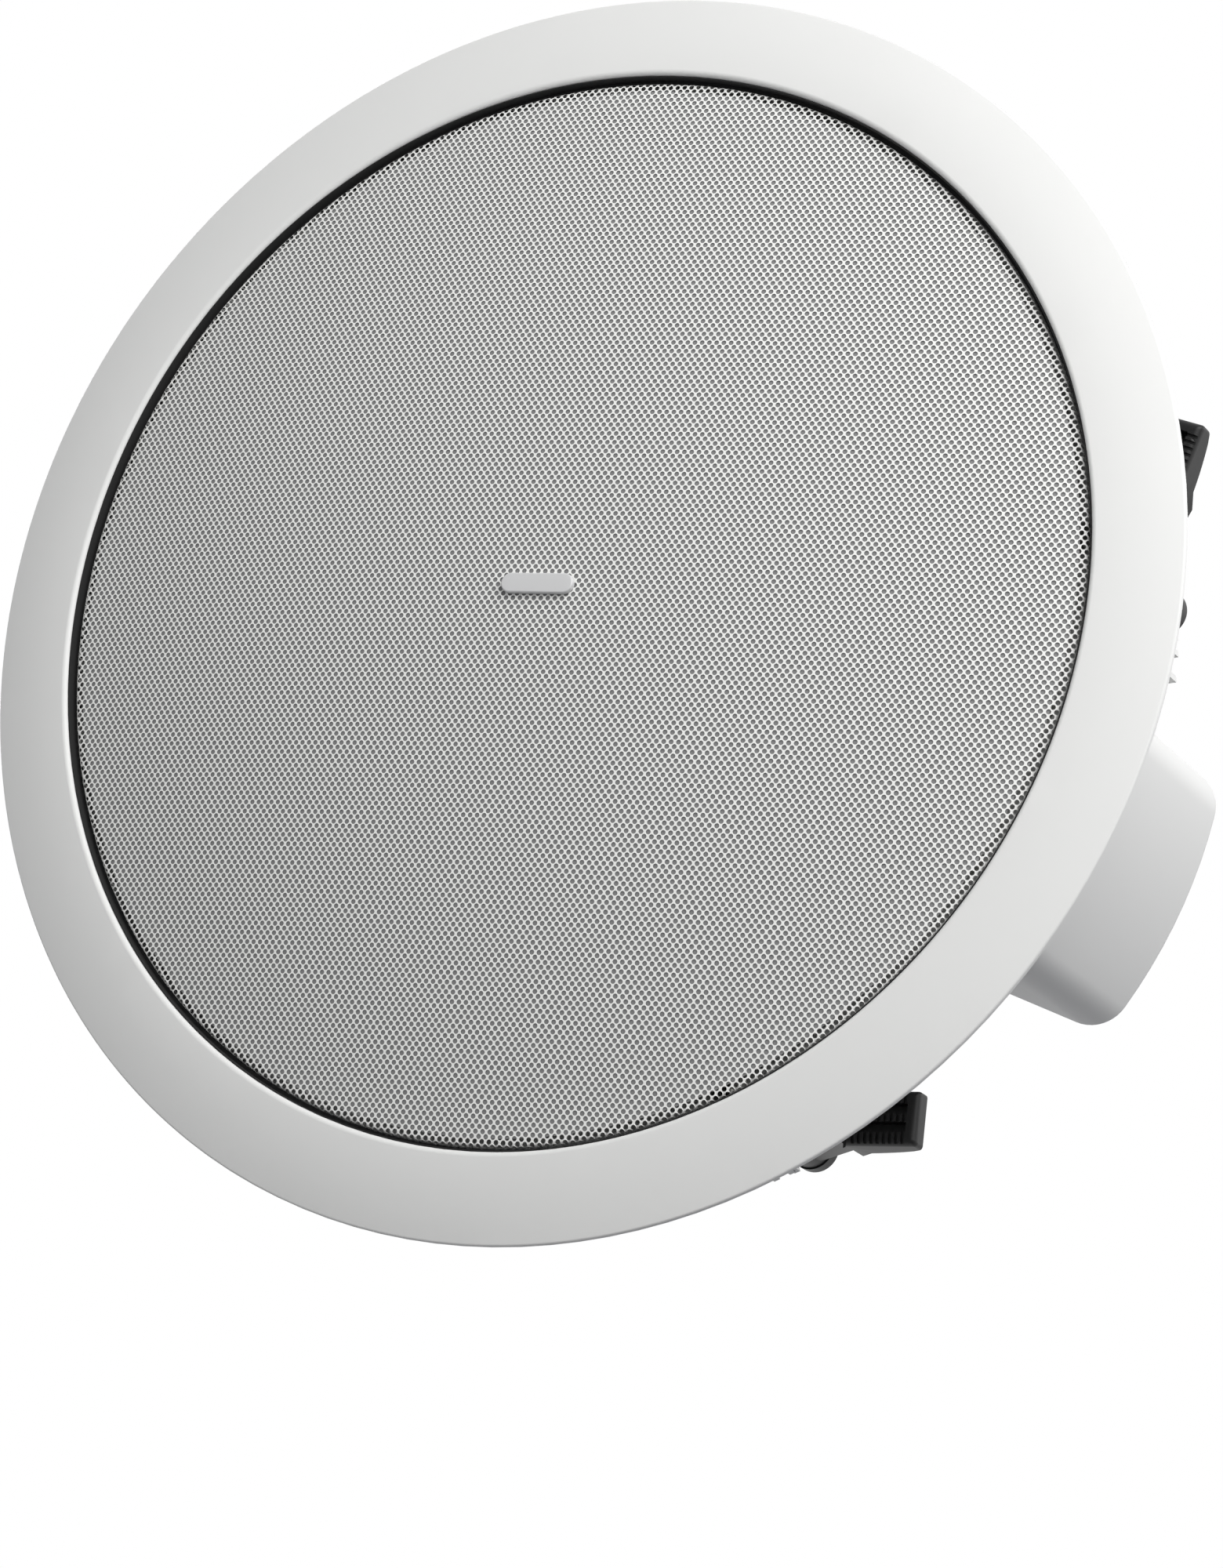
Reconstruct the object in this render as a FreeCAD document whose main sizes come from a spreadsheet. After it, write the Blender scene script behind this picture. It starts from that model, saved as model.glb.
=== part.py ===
# In-ceiling subwoofer, 300 mm class, as it hangs in a ceiling.
# Millimetres. The origin is on the axis in the plane of the ceiling's visible face,
# +Z points up into the ceiling void, so the front of the unit looks along -Z.
# The deep lobe of the rear can lies along +X.
import FreeCAD, Part
import Sketcher
import math
import os
import re

doc = FreeCAD.newDocument("ceiling_subwoofer")

# Driving dimensions: name, value, what it is
SIZES = [
    # bezel and baffle moulding
    ("bezel_radius", 202.0, "outer edge of the bezel"),
    ("bezel_inner_radius", 174.2, "inner edge of the bezel face"),
    ("bezel_lip", 1.6, "edge thickness of the bezel"),
    ("bezel_rise", 5.4, "how far the face leans forward to its inner edge"),
    ("bezel_wall", 2.4, "wall of the hollow bezel"),
    ("rim_width", 6.0, "flat rim that bears on the ceiling"),
    ("shell_wall", 3.0, "wall of the baffle's tub"),
    ("floor_depth", 8.0, "front of the clamp floor behind the ceiling plane"),
    ("seat_depth", 20.0, "front of the driver seat behind the ceiling plane"),
    ("seat_wall", 4.0, "driver seat plate"),
    ("step_radius", 157.0, "wall between clamp floor and driver seat"),
    ("driver_hole_radius", 141.0, "hole in the driver seat"),
    ("inner_edge_round", 1.6, "rounded inner edge of the bezel"),
    ("outer_edge_round", 0.8, "rounded outer edge of the bezel"),
    ("grip_ribs", 10, "ribs that hold the grille's rim"),
    ("grip_rib_width", 9.0, "width of one grip rib"),
    ("grip_clearance", 0.3, "between grip ribs and the grille's rim"),
    # clamps
    ("clamp_count", 5, "swing clamps round the unit"),
    ("clamp_circle", 167.1, "radius of the circle of clamp screws"),
    ("clamp_angle", 44.5, "first clamp, from the deep lobe"),
    ("arm_angle", 66.0, "deployed arm, from the radial direction"),
    ("hub_radius", 7.0, "arm hub"),
    ("hub_front", 41.5, "front end of the hub"),
    ("hub_back", 77.7, "back end of the hub"),
    ("collar_radius", 7.5, "collar round the nut"),
    ("collar_length", 4.0, "length of that collar"),
    ("neck_width", 11.0, "arm between hub and pad"),
    ("pad_width", 16.8, "gripping pad"),
    ("pad_start", 28.5, "pad, from the screw's axis"),
    ("arm_length", 50.5, "screw's axis to the arm's end"),
    ("pad_front", 36.0, "gripping face at rest"),
    ("pad_thickness", 8.0, "pad from face to back, at its end bar"),
    ("end_bar", 3.6, "plain bar at the arm's end"),
    ("end_back", 42.0, "back of the arm's rounded end"),
    ("pad_crown", 47.2, "highest point of the pad's back"),
    ("crown_start", 32.0, "that point, from the screw's axis"),
    ("neck_front", 48.5, "front of the neck at the hub"),
    ("neck_bend", 15.7, "where the neck bends down to the pad"),
    ("heel_start", 26.5, "heel between neck and pad, from the axis"),
    ("heel_front", 39.5, "front of that heel"),
    ("neck_back", 69.0, "back of the neck beside the hub"),
    ("pad_back_bow", 60.0, "radius of the pad's bowed back"),
    ("pad_slot_width", 3.2, "slots between the rows of ribs"),
    ("pad_slot_depth", 4.0, "depth of those slots"),
    ("rib_pitch", 2.0, "gripping ribs"),
    ("rib_depth", 0.9, "depth of the grooves between ribs"),
    ("arm_end_round", 1.2, "rounded corners of the arm's end"),
    ("end_bar_round", 2.4, "rounded front edge of the end bar"),
    ("screw_radius", 2.5, "clamp screw shank"),
    ("screw_head_radius", 4.0, "clamp screw head"),
    ("screw_head_height", 3.0, "clamp screw head"),
    ("screw_head_top", 3.2, "flat top of the head"),
    ("screw_head_edge", 2.1, "upright edge of the head"),
    ("screw_end", 82.0, "back end of the clamp screw"),
    ("nut_radius", 4.6, "threaded bush in the hub"),
    ("nut_length", 8.0, "threaded bush in the hub"),
    ("running_gap", 0.05, "radial clearance of turning fits"),
    ("free_gap", 0.3, "clearance of parts that pass each other"),
    ("overcut", 1.0, "how far a cut runs past a face"),
    ("tower_gap", 1.2, "between hub and tower"),
    ("tower_wall", 2.0, "tower walls"),
    ("tower_width", 7.5, "outside width of the hollow tower rib"),
    ("tower_reach", 5.0, "tower rib, outward of the screw's axis"),
    ("tower_top", 76.0, "back end of the tower"),
    ("fin_top", 97.6, "back end of the guard fin"),
    ("fin_width", 5.3, "guard fin"),
    ("stop_top", 46.0, "back end of the arm stop"),
    ("stop_reach", 13.3, "arm stop, outward of the screw's axis"),
    ("stop_start", 5.0, "arm stop, sideways from the screw's axis"),
    ("stop_width", 9.0, "arm stop"),
    # grille
    ("grille_radius", 172.4, "outside of the grille's rim"),
    ("grille_wall", 1.0, "sheet"),
    ("grille_rim_front", 3.6, "rim ahead of the ceiling plane"),
    ("dome_rise", 15.7, "crown of the dome ahead of its rim"),
    ("hole_pitch", 36.0, "coarse stand-in for the fine perforation"),
    ("hole_radius", 9.0, "coarse stand-in for the fine perforation"),
    ("hole_margin", 3.0, "plain sheet left at the rim"),
    ("row_angle", -18.65, "direction of the rows of holes"),
    ("scrim_margin", 1.6, "scrim short of the rim"),
    ("scrim_wall", 0.7, "scrim cloth"),
    ("glue_gap", 0.1, "glue line behind sheet and badge"),
    ("badge_length", 24.6, "badge plate"),
    ("badge_height", 6.4, "badge plate"),
    ("badge_wall", 1.6, "badge plate"),
    # driver
    ("frame_radius", 155.0, "outside of the driver's flange"),
    ("flange_wall", 3.5, "driver's flange"),
    ("frame_throat", 138.5, "basket where it passes the driver seat"),
    ("basket_wall", 3.0, "basket wall"),
    ("basket_foot_radius", 66.0, "foot of the basket"),
    ("basket_foot_depth", 76.0, "seat to the basket's foot, outside"),
    ("basket_foot_height", 8.0, "foot of the basket"),
    ("windows", 6, "windows in the basket"),
    ("window_inner", 88.0, "windows, inner radius"),
    ("window_outer", 128.0, "windows, outer radius"),
    ("spoke_width", 22.0, "basket spokes"),
    ("gasket_height", 3.0, "driver gasket"),
    ("driver_bolt_circle", 147.5, "radius of the driver's screw circle"),
    ("driver_bolts", 10, "driver screws"),
    ("driver_screw_radius", 2.2, "driver screw shank"),
    ("driver_screw_length", 10.0, "driver screw under its head"),
    ("small_head_radius", 4.2, "heads of driver and can screws"),
    ("small_head_height", 2.6, "heads of driver and can screws"),
    ("hole_gap", 0.15, "clearance round fixed screws"),
    ("roll_radius", 9.0, "surround roll"),
    ("roll_wall", 1.0, "surround"),
    ("surround_lip", 6.0, "flat lips of the surround"),
    ("cone_wall", 1.2, "cone"),
    ("cone_depth", 50.0, "cone, from its rim to its neck"),
    ("coil_radius", 32.0, "inside of the coil former"),
    ("former_wall", 0.5, "coil former"),
    ("former_length", 48.0, "coil former"),
    ("former_proud", 2.0, "coil former ahead of the cone's neck"),
    ("winding_wall", 0.9, "coil winding"),
    ("winding_length", 16.0, "coil winding"),
    ("cap_radius", 38.0, "dust cap"),
    ("cap_rise", 11.0, "crown of the dust cap"),
    ("cap_wall", 0.8, "dust cap"),
    ("spider_radius", 76.0, "spider"),
    ("spider_wave", 2.5, "half height of the spider's waves"),
    ("spider_waves", 6, "waves of the spider"),
    ("spider_wall", 0.8, "spider"),
    ("spider_depth", 56.5, "seat to spider"),
    ("pole_gap", 1.0, "pole to coil former"),
    ("plate_gap", 1.0, "coil winding to top plate"),
    ("plate_radius", 75.0, "top plate and yoke"),
    ("plate_wall", 8.0, "top plate"),
    ("magnet_radius", 80.0, "magnet ring"),
    ("magnet_bore", 42.0, "magnet ring"),
    ("magnet_wall", 20.0, "magnet ring"),
    ("yoke_wall", 10.0, "yoke plate"),
    ("vent_radius", 10.0, "vent through the pole"),
    ("tag_length", 26.0, "terminal strip on the basket"),
    ("tag_height", 7.0, "terminal strip on the basket"),
    ("tag_wall", 2.0, "terminal strip on the basket"),
    # rear can
    ("gasket_wall", 1.5, "can gasket"),
    ("can_wall", 3.0, "wall of the can"),
    ("arm_room", 22.1, "clamp circle to the can between its lobes"),
    ("lobe_rise", 22.3, "lobes stand out from the can"),
    ("lobe_width", 88.0, "width of a lobe"),
    ("lobe_corner", 13.0, "rounded upright corners of the lobes"),
    ("lobe_root", 12.0, "rounded corners between lobes and can"),
    ("shoulder_height", 66.0, "can, from gasket to shoulder"),
    ("shoulder_round", 8.0, "rounded shoulder"),
    ("deep_lobe_height", 119.0, "deep lobe, from gasket"),
    ("deep_lobe_round", 5.0, "rounded back edge of the deep lobe"),
    ("deep_lobe_start", 89.6, "deep lobe, from the axis inside the drum"),
    ("drum_radius", 112.0, "drum over the magnet"),
    ("drum_height", 146.0, "drum, from gasket"),
    ("drum_round", 14.0, "rounded edge of the drum"),
    ("can_screw_circle", 159.5, "can screws, from the axis"),
    ("can_screw_spacing", 50.0, "the two screws of one lobe"),
    ("can_screw_radius", 1.9, "can screw shank"),
    ("can_screw_length", 26.0, "can screw under its head"),
    ("boss_radius", 4.6, "screw bosses in the can"),
    ("boss_height", 14.0, "screw bosses in the can"),
    # cable gland
    ("gland_angle", 66.0, "cable gland, from the deep lobe"),
    ("gland_level", 56.4, "cable gland above the ceiling plane"),
    ("gland_bore", 8.4, "cable way through the gland"),
    ("gland_thread_radius", 12.4, "gland body through the can's wall"),
    ("gland_flats", 32.0, "gland, across the flats"),
    ("gland_nut_flats", 30.0, "compression nut, across the flats"),
    ("gland_flange", 4.0, "gland flange"),
    ("gland_nut_length", 8.5, "compression nut"),
    ("locknut_wall", 4.0, "locknut inside the can"),
    ("gland_pad_wall", 3.6, "flat pad under the gland"),
    ("gland_pad_radius", 19.5, "flat pad under the gland"),
    # filter in the deep lobe
    ("board_wall", 1.6, "filter board"),
    ("board_width", 62.0, "filter board"),
    ("board_height", 74.0, "filter board"),
    ("board_standoff", 9.0, "lobe's wall to the board"),
    ("board_level", 62.0, "lower edge of the board above the ceiling plane"),
    ("standoff_radius", 3.4, "standoffs of the board"),
    ("inductor_radius", 22.0, "inductor"),
    ("inductor_bore", 9.0, "inductor"),
    ("inductor_length", 20.0, "inductor"),
    ("inductor_cheek", 2.0, "cheeks of the inductor's bobbin"),
    ("inductor_margin", 2.0, "inductor to the board's edge"),
    ("capacitor_radius", 8.0, "filter capacitor"),
    ("capacitor_length", 34.0, "filter capacitor"),
    ("block_length", 24.0, "terminal block"),
    ("block_height", 12.0, "terminal block"),
    ("block_depth", 14.0, "terminal block"),
    # damping and safety eye
    ("wadding_wall", 22.0, "fibre pad behind the magnet"),
    ("wadding_clearance", 1.0, "fibre pad to the drum's wall"),
    ("eye_margin", 50.0, "safety eye from the drum's side"),
    ("eye_width", 22.0, "safety eye"),
    ("eye_foot", 26.0, "foot of the safety eye"),
    ("eye_height", 24.0, "safety eye"),
    ("eye_wall", 2.5, "safety eye"),
    ("eye_hole_radius", 5.0, "hole for the safety wire"),
    ("rivet_radius", 2.4, "rivet of the safety eye"),
    ("tail_radius", 4.0, "formed tail of the eye's rivet"),
    ("tail_wall", 1.2, "formed tail of the eye's rivet"),
]

sheet = doc.addObject("Spreadsheet::Sheet", "Sizes")
for row, (alias, size, note) in enumerate(SIZES, start=1):
    sheet.set("A%d" % row, alias)
    sheet.set("B%d" % row, str(size))
    sheet.set("C%d" % row, note)
    sheet.setAlias("B%d" % row, alias)
doc.recompute()
ALIASES = {alias for alias, size, note in SIZES}

def derived(alias, text):
    """Add a size to the sheet that follows from others there."""
    row = len(ALIASES) + 1
    sheet.set("A%d" % row, alias)
    sheet.set("B%d" % row, "=" + text)
    sheet.setAlias("B%d" % row, alias)
    ALIASES.add(alias)
    return alias


# Sizes that follow from the driving ones
SEAT_BACK = derived("seat_back", "seat_depth + seat_wall")
FLOOR_BACK = derived("floor_back", "floor_depth + shell_wall")
TUB_RADIUS = derived("tub_radius", "bezel_inner_radius + shell_wall")
BEZEL_SLOPE = derived("bezel_slope", "bezel_rise / (bezel_radius - bezel_inner_radius)")
CAN_BASE = derived("can_base", "seat_back + gasket_wall")
CAN_RADIUS = derived("can_radius", "clamp_circle - arm_room")
LOBE_RADIUS = derived("lobe_radius", "can_radius + lobe_rise")
FLANGE_FRONT = derived("flange_front", "seat_depth - flange_wall")
GASKET_FRONT = derived("gasket_front", "flange_front - gasket_height")
BASKET_FOOT = derived("basket_foot", "seat_depth + basket_foot_depth")
BASKET_END = derived("basket_end", "basket_foot + basket_foot_height")
COIL_OUTER = derived("coil_outer", "coil_radius + former_wall + winding_wall")
DOME_RADIUS = derived("dome_radius", "(grille_radius ^ 2 + dome_rise ^ 2) / (2 * dome_rise)")
INNER_DOME = derived(
    "inner_dome_radius", "((grille_radius - grille_wall) ^ 2 + dome_rise ^ 2) / (2 * dome_rise)")
CROWN_FRONT = derived("crown_front", "grille_rim_front + dome_rise")
CONE_RIM = derived("cone_rim", "frame_throat - basket_wall - 2 * surround_lip / 3 - 2 * roll_radius")
CONE_NECK = derived("cone_neck", "flange_front - roll_wall + cone_depth")
LOBE_INSIDE = derived("lobe_inside", "lobe_radius - can_wall")
GLAND_SEAT = derived("gland_seat", "lobe_inside + gland_pad_wall")
BOARD_BACK = derived("board_back", "lobe_inside - board_standoff")
CAN_TOP = derived("can_top", "can_base + drum_height")
EYE_PLACE = derived("eye_place", "drum_radius - eye_margin")
doc.recompute()


def bound(text):
    """Expression text with each size named as a cell of the sheet."""
    return re.sub(r"[a-z_]+", lambda word: "Sizes." + word[0] if word[0] in ALIASES else word[0], text)


def value(text):
    """Number that an expression gives with the sheet's present sizes."""
    result = sheet.evalExpression(text)
    return float(getattr(result, "Value", result))


def new_body(label):
    body = doc.addObject("PartDesign::Body", label)
    body.Label = label
    return body


def origin_feature(body, role):
    return next(feature for feature in body.Origin.OriginFeatures if feature.Role == role)


def new_sketch(body, name, plane, lift=None, turn=None):
    """Empty sketch on an origin plane, lifted along its normal and turned about it."""
    sketch = body.newObject("Sketcher::SketchObject", name)
    sketch.AttachmentSupport = (origin_feature(body, plane), [""])
    sketch.MapMode = "FlatFace"
    if lift:
        sketch.setExpression("AttachmentOffset.Base.z", bound(lift))
    if turn:
        sketch.setExpression("AttachmentOffset.Rotation.Angle", bound("(%s) * 1 deg" % turn))
    return sketch


def bind(sketch, constraints, texts):
    """Add constraints together and tie those that have an expression to the sheet."""
    first = sketch.ConstraintCount
    sketch.addConstraint(constraints)
    for index, text in enumerate(texts):
        if text:
            sketch.setExpression("Constraints[%d]" % (first + index), bound(text))


def add_loop(sketch, corners):
    """Closed outline. A corner is (x, y), or (x, y, radius, side) where an arc starts
    that has its centre to the left (side 1) or right (side -1) of its chord."""
    points = [FreeCAD.Vector(value(corner[0]), value(corner[1]), 0) for corner in corners]
    first = sketch.GeometryCount
    count = len(corners)
    for index, corner in enumerate(corners):
        start = points[index]
        end = points[(index + 1) % count]
        if len(corner) == 2:
            sketch.addGeometry(Part.LineSegment(start, end))
            continue
        radius = value(corner[2])
        chord = end - start
        middle = (start + end) * 0.5
        left = FreeCAD.Vector(-chord.y, chord.x, 0).normalize()
        height = math.sqrt(max(radius ** 2 - chord.Length ** 2 / 4, 0.0))
        crown = middle + left * (corner[3] * (height - radius))
        sketch.addGeometry(Part.Arc(start, crown, end))
    constraints = []
    texts = []
    for index, corner in enumerate(corners):
        edge = first + index
        following = first + (index + 1) % count
        here = start_vertex(sketch, edge, points[index])
        next_start = start_vertex(sketch, following, points[(index + 1) % count])
        constraints.append(Sketcher.Constraint("Coincident", edge, 3 - here, following, next_start))
        texts.append(None)
        constraints.append(Sketcher.Constraint("DistanceX", -1, 1, edge, here, points[index].x))
        texts.append(corner[0])
        constraints.append(Sketcher.Constraint("DistanceY", -1, 1, edge, here, points[index].y))
        texts.append(corner[1])
        if len(corner) > 2:
            constraints.append(Sketcher.Constraint("Radius", edge, value(corner[2])))
            texts.append(corner[2])
    bind(sketch, constraints, texts)


def start_vertex(sketch, edge, point):
    """Which end of an edge is the given point: 1 its own start, 2 its end."""
    return 1 if (sketch.getPoint(edge, 1) - point).Length < 1e-6 else 2


def add_circle(sketch, x, y, radius):
    centre = FreeCAD.Vector(value(x), value(y), 0)
    circle = sketch.addGeometry(Part.Circle(centre, FreeCAD.Vector(0, 0, 1), value(radius)))
    bind(sketch, [
        Sketcher.Constraint("DistanceX", -1, 1, circle, 3, centre.x),
        Sketcher.Constraint("DistanceY", -1, 1, circle, 3, centre.y),
        Sketcher.Constraint("Radius", circle, value(radius)),
    ], [x, y, radius])


def add_hexagon(sketch, flats):
    """Hexagon about the sketch's origin with a corner on its x axis."""
    corner = "%s / sqrt(3)" % flats
    add_loop(sketch, [("%s * cos(%d)" % (corner, 60 * side), "%s * sin(%d)" % (corner, 60 * side))
                      for side in range(6)])


def box_corners(x_low, x_high, y_low, y_high):
    return [(x_low, y_low), (x_high, y_low), (x_high, y_high), (x_low, y_high)]


def outline(body, name, plane, corners, lift=None, turn=None):
    sketch = new_sketch(body, name, plane, lift, turn)
    add_loop(sketch, corners)
    return sketch


def circles(body, name, plane, rows, lift=None, turn=None):
    sketch = new_sketch(body, name, plane, lift, turn)
    for x, y, radius in rows:
        add_circle(sketch, x, y, radius)
    return sketch


def pad(body, sketch, length, both_sides=False):
    feature = body.newObject("PartDesign::Pad", sketch.Name + "_pad")
    feature.Profile = sketch
    feature.setExpression("Length", bound(length))
    if both_sides:
        feature.SideType = "Symmetric"
    doc.recompute()
    return feature


def pocket(body, sketch, length, along_normal=True):
    """Pocket that cuts along the sketch's normal, or against it."""
    before = body.Shape.Volume
    feature = body.newObject("PartDesign::Pocket", sketch.Name + "_pocket")
    feature.Profile = sketch
    feature.setExpression("Length", bound(length))
    feature.Reversed = along_normal
    doc.recompute()
    if not body.Shape.Volume < before:
        raise RuntimeError("%s cuts nothing" % feature.Name)
    return feature


def turned(body, name, corners, groove=False):
    """Profile in the XZ plane turned about Z, added to the body or cut from it."""
    sketch = outline(body, name, "XZ_Plane", corners)
    kind = "PartDesign::Groove" if groove else "PartDesign::Revolution"
    feature = body.newObject(kind, name + "_turn")
    feature.Profile = sketch
    feature.ReferenceAxis = (sketch, ["V_Axis"])
    feature.Angle = 360
    doc.recompute()
    return feature


def polar(body, features, count):
    pattern = body.newObject("PartDesign::PolarPattern", features[0].Name + "_ring")
    pattern.Originals = features
    pattern.Axis = (origin_feature(body, "Z_Axis"), [""])
    pattern.Angle = 360
    pattern.setExpression("Occurrences", bound(count))
    body.Tip = pattern
    doc.recompute()
    return pattern


def edges_where(shape, test):
    return ["Edge%d" % (index + 1) for index, edge in enumerate(shape.Edges) if test(edge)]


def rounded(body, edge_names, radius):
    base = body.Tip
    feature = body.newObject("PartDesign::Fillet", base.Name + "_round")
    feature.Base = (base, edge_names)
    feature.setExpression("Radius", bound(radius))
    doc.recompute()
    return feature


def edge_at(edge, z, radius=None):
    """Whether an edge lies at a height and, if given, is a circle of a radius about Z."""
    box = edge.BoundBox
    level = abs(box.ZMin - z) < 1e-4 and abs(box.ZMax - z) < 1e-4
    if radius is None:
        return level
    return level and abs(box.XMax - radius) < 1e-3 and abs(box.XMin + radius) < 1e-3


def place(body, x="0", y="0", z="0", turn="0"):
    body.setExpression("Placement.Base.x", bound(x))
    body.setExpression("Placement.Base.y", bound(y))
    body.setExpression("Placement.Base.z", bound(z))
    body.setExpression("Placement.Rotation.Angle", bound("(%s) * 1 deg" % turn))


def radial_cylinder(body, kind, name, radius, start, length, level, turn):
    """Cylinder along the outward radial direction at a turn about Z, added or cut."""
    cylinder = body.newObject("PartDesign::%sCylinder" % kind, name)
    cylinder.setExpression("Radius", bound(radius))
    cylinder.setExpression("Height", bound(length))
    angle = math.radians(value(turn))
    outward = FreeCAD.Vector(math.cos(angle), math.sin(angle), 0)
    cylinder.Placement = FreeCAD.Placement(
        outward * value(start) + FreeCAD.Vector(0, 0, value(level)),
        FreeCAD.Rotation(FreeCAD.Vector(0, 0, 1), outward))
    doc.recompute()
    return cylinder


def clamp_turn(clamp):
    return "(clamp_angle + %d * 360 / clamp_count)" % clamp


def one_lobe_corners(inset, inner, *inner_arc):
    """Outline of a single lobe along +X, cut off at an inner distance, square or by an arc."""
    reach = "(%s - %s)" % (LOBE_RADIUS, inset)
    half = "(lobe_width / 2 - %s)" % inset
    corner = "(lobe_corner - %s)" % inset
    corner_x = "sqrt((%s - %s) ^ 2 - (%s - %s) ^ 2)" % (reach, corner, half, corner)
    on_reach = "%s / (%s - %s)" % (reach, reach, corner)
    return [
        (inner, "-%s" % half),
        (corner_x, "-%s" % half, corner, 1),
        ("%s * %s" % (corner_x, on_reach), "-(%s - %s) * %s" % (half, corner, on_reach), reach, 1),
        ("%s * %s" % (corner_x, on_reach), "(%s - %s) * %s" % (half, corner, on_reach), corner, 1),
        (corner_x, half),
        (inner, half, *inner_arc),
    ]


def lobed(body, name, inset, lift, length, cut=False):
    """Round block with the can's five lobes, inset from its outline, added or cut."""
    shape = pocket if cut else pad
    core = circles(body, name + "_core", "XY_Plane", [("0", "0", "%s - %s" % (CAN_RADIUS, inset))], lift=lift)
    shape(body, core, length)
    lobe = outline(body, name + "_lobe", "XY_Plane", one_lobe_corners(inset, "drum_radius"), lift=lift)
    polar(body, [shape(body, lobe, length)], "clamp_count")


# the two screws that hold each lobe of the can
CAN_SCREW_PLACES = [
    ("can_screw_circle", "-can_screw_spacing / 2"),
    ("can_screw_circle", "can_screw_spacing / 2"),
]


def make_baffle():
    """White moulded front: bezel, grille recess, clamp floor with towers, driver seat."""
    body = new_body("baffle")
    bezel_underside = "bezel_wall - bezel_lip - bezel_rise + shell_wall * %s" % BEZEL_SLOPE
    rim_underside = "bezel_wall - bezel_lip - rim_width * %s" % BEZEL_SLOPE
    turned(body, "baffle_section", [
        ("bezel_radius", "0"),
        ("bezel_radius", "-bezel_lip"),
        ("bezel_inner_radius", "-bezel_lip - bezel_rise"),
        ("bezel_inner_radius", "floor_depth"),
        ("step_radius", "floor_depth"),
        ("step_radius", "seat_depth"),
        ("driver_hole_radius", "seat_depth"),
        ("driver_hole_radius", SEAT_BACK),
        ("step_radius + shell_wall", SEAT_BACK),
        ("step_radius + shell_wall", FLOOR_BACK),
        (TUB_RADIUS, FLOOR_BACK),
        (TUB_RADIUS, bezel_underside),
        ("bezel_radius - rim_width", rim_underside),
        ("bezel_radius - rim_width", "0"),
    ])
    inner_edge = edges_where(body.Shape, lambda edge: edge_at(
        edge, value("-bezel_lip - bezel_rise"), value("bezel_inner_radius")))
    rounded(body, inner_edge, "inner_edge_round")
    outer_edge = edges_where(body.Shape, lambda edge: edge_at(
        edge, value("-bezel_lip"), value("bezel_radius")))
    rounded(body, outer_edge, "outer_edge_round")

    # shoulders that close the open front of the can's lobes
    shoulder = outline(body, "lobe_seat", "XY_Plane", one_lobe_corners(
        "0", "sqrt(step_radius ^ 2 - lobe_width ^ 2 / 4)", "step_radius", -1), lift="floor_depth")
    polar(body, [pad(body, shoulder, "%s - floor_depth" % SEAT_BACK)], "clamp_count")

    # hollow guide rib beside each screw, with a thin guard fin at its back end
    inner_face = "(step_radius + shell_wall / 2)"
    rib_face = "(hub_radius + tower_gap)"
    rib = outline(body, "tower_rib", "XY_Plane", [
        (inner_face, rib_face),
        ("clamp_circle + tower_reach", rib_face),
        ("clamp_circle + tower_reach", "%s + tower_wall" % rib_face),
        ("%s + tower_wall" % inner_face, "%s + tower_wall" % rib_face),
        ("%s + tower_wall" % inner_face, "%s + tower_width - tower_wall" % rib_face),
        ("clamp_circle + tower_reach", "%s + tower_width - tower_wall" % rib_face),
        ("clamp_circle + tower_reach", "%s + tower_width" % rib_face),
        (inner_face, "%s + tower_width" % rib_face),
    ], lift="floor_depth", turn="clamp_angle")
    rib_pad = pad(body, rib, "tower_top - floor_depth")
    fin = outline(body, "guard_fin", "XY_Plane", box_corners(
        inner_face, "%s + fin_width" % inner_face,
        "%s + tower_width - tower_wall" % rib_face, "%s + tower_width" % rib_face),
        lift="floor_depth", turn="clamp_angle")
    fin_pad = pad(body, fin, "fin_top - floor_depth")

    # stop post that the deployed arm swings against
    stop_gap = "(neck_width / 2 + free_gap)"
    stop_far = "(stop_start + stop_width)"
    face_x = "clamp_circle + (%s + %s * cos(arm_angle)) / sin(arm_angle)"
    stop = outline(body, "arm_stop", "XY_Plane", [
        (face_x % (stop_gap, "stop_start"), "-stop_start"),
        (face_x % (stop_gap, stop_far), "-%s" % stop_far),
        ("clamp_circle + stop_reach", "-%s" % stop_far),
        ("clamp_circle + stop_reach", "-stop_start"),
    ], turn="clamp_angle")
    stop_pad = pad(body, stop, "stop_top")
    polar(body, [rib_pad, fin_pad, stop_pad], "clamp_count")

    # ribs in the recess that hold the grille's rim
    grip = outline(body, "grip_rib", "XY_Plane", box_corners(
        "grille_radius + grip_clearance", "bezel_inner_radius + shell_wall / 2",
        "-grip_rib_width / 2", "grip_rib_width / 2"))
    polar(body, [pad(body, grip, "floor_depth + shell_wall / 2")], "grip_ribs")

    # holes for clamp screws, driver screws and can screws
    through = "%s - floor_depth + 2 * overcut" % SEAT_BACK
    clamp_hole = circles(body, "clamp_screw_hole", "XY_Plane",
                         [("clamp_circle", "0", "screw_radius + running_gap")],
                         lift="floor_depth - overcut", turn="clamp_angle")
    polar(body, [pocket(body, clamp_hole, through)], "clamp_count")
    driver_hole = circles(body, "driver_screw_hole", "XY_Plane",
                          [("driver_bolt_circle", "0", "driver_screw_radius + hole_gap")],
                          lift="seat_depth - overcut")
    polar(body, [pocket(body, driver_hole, "seat_wall + 2 * overcut")], "driver_bolts")
    can_holes = circles(body, "can_screw_hole", "XY_Plane", [
        (x, y, "can_screw_radius + hole_gap") for x, y in CAN_SCREW_PLACES], lift="floor_depth - overcut")
    polar(body, [pocket(body, can_holes, through)], "clamp_count")
    return body


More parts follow.
